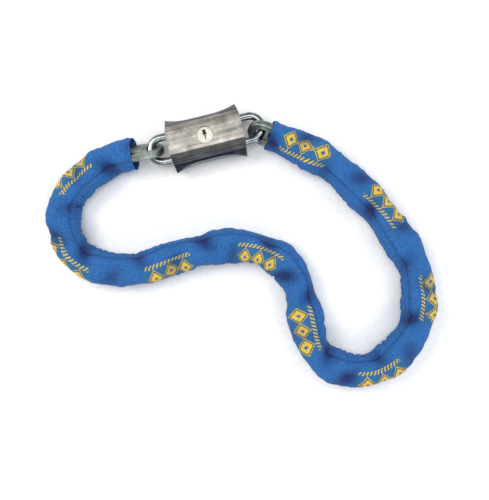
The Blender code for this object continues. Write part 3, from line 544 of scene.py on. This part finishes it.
for v in pattern_link.data.vertices:
    near = max(0.0, 1 - abs(v.co.x) / (2.2 * MM))
    if v.co.y > LINK_TURN - BAR:
        middle = Vector((v.co.x, LINK_TURN, 0))
        v.co = middle + (v.co - middle) * (1 + 0.05 * near * near)
bpy.ops.object.shade_smooth_by_angle(angle=math.radians(28))

# A link's middle lies halfway between its two crossings, which gives those that have no joint.
crossing = {int(j["name"][-2:]): Vector(j["pos_m"]) for j in frame["joints"]
            if j["name"].startswith("chain_hinge")}
link_middle = {i: sum(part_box("chain_link_%02d" % i), Vector()) / 2 for i in range(1, 29)}
for i in range(1, 29):
    if i not in crossing:
        crossing[i] = 2 * link_middle[i] - crossing[i - 1]
crossing[0] = 2 * link_middle[1] - crossing[1]
pivots = [crossing[i] for i in range(29)]
for i, (a, b) in enumerate(zip(pivots, pivots[1:])):
    name = "chain_link_%02d" % (i + 1)
    link = bpy.data.objects.new(name + "_made", pattern_link.data.copy())
    scene.collection.objects.link(link)
    turn = Matrix.Rotation(math.atan2(b.y - a.y, b.x - a.x), 4, "Z")
    roll = Matrix.Rotation(math.radians(LINK_ROLLS[i]), 4, "X")
    link.data.transform(Matrix.Translation((a + b) / 2) @ turn @ roll)
    link.data.materials.clear()
    link.data.materials.append(link_zinc)
    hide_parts(name)
    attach(link, nodes[name]["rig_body"])
bpy.data.objects.remove(pattern_link)


# ------------------------------------------------------------ fabric sleeve
# A tube of blue polyester jacquard, sewn along one seam and hemmed at both ends, pulled
# over the chain a little longer than it, so that it gathers and sinks between the links.
CLOTH = 0.85 * MM
ROUND = 80                    # points round the tube
RING_STEP = 1.5 * MM
HEM_FIRST = 21.5 * MM         # from the first crossing to the hem
HEM_LAST = 12.0 * MM
FLAT_ROUND = 112.0 * MM       # the cloth's width, cut flat
SEAM_AT = math.radians(48)
THREAD_MM = 1.6               # the real threads are half as wide; drawn coarse enough to show
REPEAT_MM = 101.75            # of the woven motif
MOTIF_AT_MM = (-10, 90, 172, 280, 381, 487, 587, 677, 786, 885)      # where the motifs lie along the chain
MOTIF_TURNS = (150, 150, 165, 145, 130, 115, 150, 140, 140, 95)
TUBE_WIDTH = 36.8 * MM        # seen from above, on average
SWELLS = (1.5 * MM, 4.5 * MM)  # how far it widens and narrows, near the first hem and further on
SWELLS_CHANGE = (7, 11)       # links between which the one turns into the other
WIDE_LINK = 9.7               # it is wide here and at every second link from here

knots = []
for i in range(28):
    a, b = pivots[i], pivots[i + 1]
    before = (pivots[i - 1] + a) / 2 if i else a
    knots.append((a + (before + (a + b) / 2) / 2) / 2 if i else a)
    knots.append((a + b) / 2)
knots.append(pivots[-1])
knots = [2 * knots[0] - knots[1]] + knots + [2 * knots[-1] - knots[-2]]
line = []
for a, b, c, d in zip(knots, knots[1:], knots[2:], knots[3:]):
    for k in range(8):
        t = k / 8
        value = b * 2 + (c - a) * t + (a * 2 - b * 5 + c * 4 - d) * t ** 2
        value += (b * 3 - a - c * 3 + d) * t ** 3
        line.append(value / 2)
line.append(knots[-2])
line = np.array([tuple(p) for p in line])
far = np.concatenate(([0.0], np.cumsum(np.linalg.norm(np.diff(line, axis=0), axis=1))))
mid_far = [far[(2 * i + 1) * 8] for i in range(28)]
joined = {frozenset((j["parent"], j["child"])) for j in frame["joints"]}
runs = []
for i in range(1, 28):
    start = HEM_FIRST if i == 1 else mid_far[i - 1]
    stop = far[-1] - HEM_LAST if i == 27 else mid_far[i]
    if frozenset(("link_%02d" % i, "link_%02d" % (i + 1))) in joined:
        runs.append((start, stop, i, i + 1))
    else:
        runs += [(start, far[16 * i], i, i), (far[16 * i], stop, i + 1, i + 1)]
ring_far = [runs[0][0]]
ring_first = [0]
for low, high, a, b in runs:
    count = max(4, round((high - low) / RING_STEP))
    ring_far += [low + (high - low) * (k + 1) / count for k in range(count)]
    ring_first.append(len(ring_far) - 1)
ring_far = np.array(ring_far)
rings = len(ring_far)


def smoothed(values, width):
    """A list of ring values with a bell-shaped average over a width in metres."""
    reach = np.arange(-int(3 * width / RING_STEP), int(3 * width / RING_STEP) + 1)
    bell = np.exp(-0.5 * (reach * RING_STEP / width) ** 2)
    padded = np.pad(values, len(reach) // 2, mode="edge")
    return np.convolve(padded, bell / bell.sum(), mode="valid")


middle = np.stack([smoothed(np.interp(ring_far, far, line[:, k]), 3 * MM) for k in range(3)], 1)
middle[0] = [np.interp(ring_far[0], far, line[:, k]) for k in range(3)]
ahead = np.gradient(middle, axis=0)
ahead /= np.linalg.norm(ahead, axis=1)[:, None]
left = np.stack([-ahead[:, 1], ahead[:, 0], 0 * ahead[:, 0]], 1)
heading = np.unwrap(np.arctan2(ahead[:, 1], ahead[:, 0]))
bend = smoothed(np.gradient(heading, ring_far), 9 * MM)         # radians per metre, left turns positive

link_at = np.interp(ring_far, mid_far, np.arange(28))
swell = np.interp(link_at, SWELLS_CHANGE, SWELLS)
half_w = (TUBE_WIDTH + swell * np.cos(math.pi * (link_at - WIDE_LINK))) / 2
half_w = np.clip(smoothed(half_w, 4 * MM), 15.0 * MM, 22.4 * MM)
half_h = 14.9 * MM + 0.25 * (17.5 * MM - half_w)
turn = 2 * math.pi * np.arange(ROUND) / ROUND                    # 0 is the left side, a quarter turn the top
S, T = np.meshgrid(ring_far, turn, indexing="ij")
super_round = 2.35
size = (np.abs(np.cos(T)) ** super_round + np.abs(np.sin(T)) ** super_round) ** (-1 / super_round)
radius = np.hypot(half_w[:, None] * size * np.cos(T), half_h[:, None] * size * np.sin(T))


def ripple(s, t, length, seed):
    """Smooth noise on the tube: s runs along it in metres, t round it in radians, closing up after a turn."""
    value = 0 * s
    wave = 2 * math.pi * s / length
    for k in range(1, 5):
        phase = seed * 12.9898 + k * 78.233
        quick = wave * (0.6 + 0.27 * k) + phase * 1.7
        value = value + np.sin(quick + 1.9 * np.sin(k * t + phase)) / (k + 1)
        slow = wave * (0.45 + 0.21 * k) - phase
        value = value + np.sin(slow + 1.3 * np.sin((k + 1) * t - 2 * phase)) / (k + 2)
    return value * 0.7


def apart(t, centre):
    """Angle from a place round the tube, from minus half a turn to half a turn."""
    return (t - centre + math.pi) % (2 * math.pi) - math.pi


hollow = 0 * S
for i in range(28):
    side = 1 if LINK_ROLLS[i] > 0 else -1
    centre = mid_far[i] + 2.0 * MM * math.sin(i * 2.3)
    along = (S - centre) / (7.5 * MM)
    depth = (5.0 + 1.6 * math.sin(i * 1.7)) * MM
    for place, share in ((math.pi / 2 + side * math.radians(40), 1.0),
                         (-math.pi / 2 + side * math.radians(40), 0.5)):
        spread = apart(T, place - 0.3 * side * along) / math.radians(30)
        hollow += depth * share * np.exp(-0.5 * (along ** 2 + spread ** 2))
inside_bend = np.clip(bend[:, None] * np.cos(T) / 9.0, 0, 1.6)     # on the side the chain bends towards
fold_wave = ripple(S, T, 9.5 * MM, 3.1)
crease = np.clip(fold_wave, -0.2, 1.0) ** 2
hollow += inside_bend * 1.5 * MM * crease
drag = ripple(S + 7 * MM * np.sin(T + 0.7), T, 21 * MM, 8.4)
slack_cloth = 0.75 * MM * drag + 0.35 * MM * ripple(S + 3 * MM * np.cos(2 * T), T, 8 * MM, 5.9)
seam = np.exp(-0.5 * (apart(T, SEAM_AT + 0.12 * np.sin(S / (60 * MM))) / math.radians(3.2)) ** 2)
near_hem = np.minimum(S - ring_far[0], ring_far[-1] - S)
hem_fold = 0.45 * MM / (1 + np.exp((near_hem - 7.5 * MM) / (0.35 * MM)))
hem_stitch = 0.3 * MM * np.exp(-0.5 * ((near_hem - 6.6 * MM) / (0.5 * MM)) ** 2)
mouth = np.exp(-near_hem / (9 * MM))
radius = radius - hollow * (1 - 0.6 * mouth) + slack_cloth - 0.7 * MM * seam + hem_fold - hem_stitch
radius -= mouth * (0.9 * MM + 0.8 * MM * np.cos(2 * T + 0.8))
links_tree = bmesh.new()
for i in range(28):
    links_tree.from_mesh(bpy.data.objects["chain_link_%02d_made" % (i + 1)].data)
bmesh.ops.triangulate(links_tree, faces=links_tree.faces)
chain_tree = BVHTree.FromBMesh(links_tree)
links_tree.free()
reach = 0 * radius
for r in range(rings):
    centre = Vector(middle[r])
    for k in range(ROUND):
        way = Vector(left[r] * math.cos(turn[k])) + Vector((0, 0, math.sin(turn[k])))
        hit = chain_tree.ray_cast(centre + way * 0.03, -way, 0.03)
        if hit[0]:
            reach[r, k] = 0.03 - hit[3]
tent = reach
for step in range(4):
    tent = np.maximum.reduce([tent, np.roll(tent, 1, 0) - 0.15 * MM, np.roll(tent, -1, 0) - 0.15 * MM,
                              np.roll(tent, 1, 1) - 0.1 * MM, np.roll(tent, -1, 1) - 0.1 * MM])
for step in range(2):
    tent = (tent * 2 + np.roll(tent, 1, 0) + np.roll(tent, -1, 0)) / 4
    tent = (tent * 2 + np.roll(tent, 1, 1) + np.roll(tent, -1, 1)) / 4
tent = np.maximum(tent, reach) + CLOTH + 0.3 * MM
soft = 0.5 * MM
radius = soft * np.logaddexp(radius / soft, tent / soft)
base = middle[:, None, :] + left[:, None, :] * (radius * np.cos(T))[:, :, None]
base[:, :, 2] = middle[:, None, 2] + radius * np.sin(T)
first_lean = np.exp(-(S - ring_far[0]) / (7 * MM)) * 2.2 * MM * np.cos(T - 0.9)
last_lean = np.exp(-(ring_far[-1] - S) / (7 * MM)) * 1.6 * MM * np.cos(T + 2.0)
base += ahead[:, None, :] * (first_lean + last_lean)[:, :, None]
floor = 0.45 * MM
low = np.clip((6.0 * MM - base[:, :, 2]) / (6.0 * MM), 0, None)
base[:, :, 2] = np.maximum(base[:, :, 2] + 0.5 * MM * low ** 2, floor + 0.12 * MM * np.sin(S / (5 * MM)) ** 2)


def outward(points):
    """Unit normals of a tube given as rings of points."""
    across = np.roll(points, -1, 1) - np.roll(points, 1, 1)
    normal = np.cross(across, np.gradient(points, axis=0))
    return normal / np.maximum(np.linalg.norm(normal, axis=2, keepdims=True), 1e-12)


skin = outward(base)
skin *= np.sign((skin * (base - middle[:, None, :])).sum(2).mean())
lining = base - skin * CLOTH
both = np.stack([base, lining])
both_skin = np.stack([skin, -skin])
motif_far = np.array(MOTIF_AT_MM) * MM
motif_turn = smoothed(np.interp(ring_far, motif_far, np.radians(MOTIF_TURNS)), 12 * MM)
cloth_far = smoothed(np.interp(ring_far, motif_far, REPEAT_MM * MM * np.arange(len(motif_far))), 12 * MM)
beyond = ring_far > motif_far[-1]
cloth_far[beyond] = cloth_far[~beyond][-1] + ring_far[beyond] - motif_far[-1]
ROUND_RADIUS = FLAT_ROUND / (2 * math.pi)

sleeve_cloth, shader = new_finish("blue_woven_polyester", 0.0, 0.82, "1F62AE")
shader.inputs["Sheen Weight"].default_value = 0.1
shader.inputs["Sheen Roughness"].default_value = 0.45
shader.inputs["Sheen Tint"].default_value = linear("9CC4F0")
shader.inputs["Specular IOR Level"].default_value = 0.3
place = add(sleeve_cloth, "UVMap", uv_map="cloth")
axes = add(sleeve_cloth, "SeparateXYZ", {0: place.outputs["UV"]})


def sum_of(operation, *values):
    """One arithmetic step in the sleeve's weave."""
    return add(sleeve_cloth, "Math", dict(enumerate(values)), operation=operation).outputs[0]


u_mm = sum_of("MULTIPLY", axes.outputs["X"], 1000.0)
v_mm = sum_of("MULTIPLY", axes.outputs["Y"], 1000.0)
warp = sum_of("SINE", sum_of("MULTIPLY", u_mm, math.pi / THREAD_MM))
weft = sum_of("SINE", sum_of("MULTIPLY", v_mm, math.pi / THREAD_MM))
over = sum_of("GREATER_THAN", sum_of("MULTIPLY", warp, weft), 0.0)
warp_high = sum_of("MULTIPLY", sum_of("ABSOLUTE", warp), over)
weft_high = sum_of("MULTIPLY", sum_of("ABSOLUTE", weft), sum_of("SUBTRACT", 1.0, over))
weave = sum_of("ADD", warp_high, weft_high)
u_step = sum_of("SNAP", sum_of("WRAP", u_mm, -FLAT_ROUND / MM / 2, FLAT_ROUND / MM / 2), 0.8)
v_step = sum_of("SNAP", v_mm, 0.8)
along = sum_of("WRAP", v_step, -REPEAT_MM / 2, REPEAT_MM / 2)
within = sum_of("LESS_THAN", sum_of("ABSOLUTE", along), 24.4)
lozenge_at = sum_of("WRAP", along, -8.0, 8.0)
lozenge = sum_of("ADD", sum_of("DIVIDE", sum_of("ABSOLUTE", lozenge_at), 7.2),
                 sum_of("DIVIDE", sum_of("ABSOLUTE", u_step), 10.5))
body_of_it = sum_of("LESS_THAN", lozenge, 0.86)
eye_of_it = sum_of("LESS_THAN", lozenge, 0.27)
rim_out = sum_of("LESS_THAN", lozenge, 1.2)
rim_in = sum_of("GREATER_THAN", lozenge, 1.04)
filled = sum_of("MULTIPLY", sum_of("SUBTRACT", body_of_it, eye_of_it), within)
rim = sum_of("MULTIPLY", sum_of("MULTIPLY", rim_out, rim_in), within)
row = sum_of("ADD", u_step, 15.6)
slant = sum_of("WRAP", sum_of("ADD", along, sum_of("MULTIPLY", row, 0.55)), 0.0, 4.0)
bar = sum_of("MULTIPLY", sum_of("LESS_THAN", sum_of("ABSOLUTE", row), 2.3), sum_of("LESS_THAN", slant, 1.7))
bars = sum_of("MULTIPLY", bar, within)
dark_line = sum_of("MULTIPLY", sum_of("MULTIPLY", sum_of("GREATER_THAN", lozenge, 0.86),
                                      sum_of("LESS_THAN", lozenge, 1.04)), within)
near_row = sum_of("LESS_THAN", sum_of("ABSOLUTE", sum_of("ADD", u_step, 4.0)), 15.0)
ground = sum_of("MULTIPLY", near_row, sum_of("LESS_THAN", sum_of("ABSOLUTE", along), 26.0))
fluff = add(sleeve_cloth, "TexNoise", {"Vector": place.outputs["UV"], "Scale": 1400.0, "Detail": 3.0})
patchy = add(sleeve_cloth, "TexNoise", {"Vector": place.outputs["UV"], "Scale": 330.0, "Detail": 5.0,
                                        "Roughness": 0.7})
worn = add(sleeve_cloth, "TexNoise", {"Vector": place.outputs["UV"], "Scale": 260.0, "Detail": 4.0})
# Painted shade: the hollow attribute darkens the cloth towards navy in the dents between the links, and also
# marks the seam as a dark line.
dent_shade_and_seam_node = add(sleeve_cloth, "Attribute", attribute_name="hollow", attribute_type="GEOMETRY")
# The blue is lighter on the thread tops and darker in the gaps between threads, painted shade taken from the
# weave's height, with random patches on top.
share = sum_of("ADD", sum_of("MULTIPLY", weave, 0.55), sum_of("MULTIPLY", patchy.outputs["Fac"], 0.7))
blue = add(sleeve_cloth, "ValToRGB", {"Fac": share},
           [(0.24, linear("071F50")), (0.92, linear("3A82C8")), (0.56, linear("164C94"))])
dent_shaded_blue = add(sleeve_cloth, "Mix", {"Factor": sum_of("MULTIPLY", dent_shade_and_seam_node.outputs["Fac"], 0.85),
                                 "A": blue.outputs["Color"], "B": linear("17235C")}, data_type="RGBA")
teal = add(sleeve_cloth, "Mix", {"Factor": sum_of("MULTIPLY", ground, 0.42), "A": dent_shaded_blue.outputs["Result"],
                                 "B": linear("2C6E86")}, data_type="RGBA")
lined = add(sleeve_cloth, "Mix", {"Factor": sum_of("MULTIPLY", dark_line, 0.75), "A": teal.outputs["Result"],
                                  "B": linear("26404A")}, data_type="RGBA")
# The yellow yarn is likewise lighter on the thread tops, painted shade from the weave's height, with random
# wear.
yarn = add(sleeve_cloth, "ValToRGB", {"Fac": sum_of("MULTIPLY", sum_of("ADD", weave, worn.outputs["Fac"]),
                                                    0.62)},
           [(0.25, linear("A8872A")), (0.85, linear("F2CE45")), (0.5, linear("DDB630"))])
yellow = sum_of("MAXIMUM", sum_of("MAXIMUM", filled, bars), sum_of("MULTIPLY", rim, 0.75))
# The yellow motif fades where the painted dent shade lies.
yellow_less_in_dent_shade = sum_of("MULTIPLY", yellow, sum_of("SUBTRACT", 1.0, sum_of("MULTIPLY", dent_shade_and_seam_node.outputs["Fac"], 0.45)))
dyed = add(sleeve_cloth, "Mix", {"Factor": yellow_less_in_dent_shade, "A": lined.outputs["Result"], "B": yarn.outputs["Color"]},
           data_type="RGBA")
height = sum_of("ADD", sum_of("ADD", weave, sum_of("MULTIPLY", fluff.outputs["Fac"], 0.6)),
                sum_of("MULTIPLY", yellow, 0.8))
bump = add(sleeve_cloth, "Bump", {"Height": height, "Strength": 1.0, "Distance": 0.4 * MM})
rough = add(sleeve_cloth, "MapRange", {"Value": weave, "To Min": 0.92, "To Max": 0.72})
cloth_links = sleeve_cloth.node_tree.links
cloth_links.new(dyed.outputs["Result"], shader.inputs["Base Color"])
cloth_links.new(rough.outputs["Result"], shader.inputs["Roughness"])
cloth_links.new(bump.outputs["Normal"], shader.inputs["Normal"])

# Painted shade in the dents, from how deep each point lies in one, plus a dark seam line; stored as the
# hollow attribute.
dent_shade_and_seam_values = np.clip(hollow / (5.5 * MM), 0, 1) + 0.5 * seam
for i, (low, high, link_a, link_b) in enumerate(runs):
    name = "sleeve_%02d" % (i + 1)
    first, last = ring_first[i], ring_first[i + 1]
    n = last - first + 1
    cells = np.arange(2 * n * ROUND).reshape(2, n, ROUND)
    turned = np.roll(cells, -1, 2)
    quads = np.stack([cells[:, :-1], cells[:, 1:], turned[:, 1:], turned[:, :-1]], 3)
    quads[0] = quads[0][:, :, ::-1]
    column = np.arange(ROUND)
    onward = np.roll(column, -1)
    rims = [np.stack([cells[0, 0, column], cells[1, 0, column], cells[1, 0, onward], cells[0, 0, onward]], 1),
            np.stack([cells[0, -1, onward], cells[1, -1, onward], cells[1, -1, column],
                      cells[0, -1, column]], 1)]
    faces = np.concatenate([quads.reshape(-1, 4)] + rims)
    points = both[:, first:last + 1].reshape(-1, 3)
    mesh = bpy.data.meshes.new(name)
    mesh.from_pydata(points.tolist(), [], faces.tolist())
    mesh.update()
    mesh.polygons.foreach_set("use_smooth", [True] * len(mesh.polygons))
    u_of = ROUND_RADIUS * (np.tile(turn, (n, 1)) - motif_turn[first:last + 1, None])
    v_of = np.tile(cloth_far[first:last + 1, None], (1, ROUND))
    u_all = np.tile(u_of.reshape(-1), 2)
    v_all = np.tile(v_of.reshape(-1), 2)
    corner = np.zeros(len(mesh.loops), int)
    mesh.loops.foreach_get("vertex_index", corner)
    u_corner = u_all[corner].reshape(-1, 4)
    wide = (u_corner.max(1) - u_corner.min(1)) > math.pi * ROUND_RADIUS
    shift = (u_corner < u_corner.max(1, keepdims=True) - math.pi * ROUND_RADIUS) & wide[:, None]
    u_corner = u_corner + shift * 2 * math.pi * ROUND_RADIUS
    uv = mesh.uv_layers.new(name="cloth")
    uv.data.foreach_set("uv", np.stack([u_corner.reshape(-1), v_all[corner]], 1).reshape(-1))
    attribute = mesh.attributes.new("hollow", "FLOAT", "POINT")
    attribute.data.foreach_set("value", np.tile(dent_shade_and_seam_values[first:last + 1].reshape(-1), 2).astype(np.float32))
    mesh.normals_split_custom_set_from_vertices(both_skin[:, first:last + 1].reshape(-1, 3).tolist())
    mesh.materials.append(sleeve_cloth)
    piece = bpy.data.objects.new(name, mesh)
    scene.collection.objects.link(piece)
    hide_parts("fabric_sleeve")
    if link_a == link_b:
        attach(piece, "link_%02d" % link_a)
    else:
        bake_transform(piece)

low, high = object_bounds()
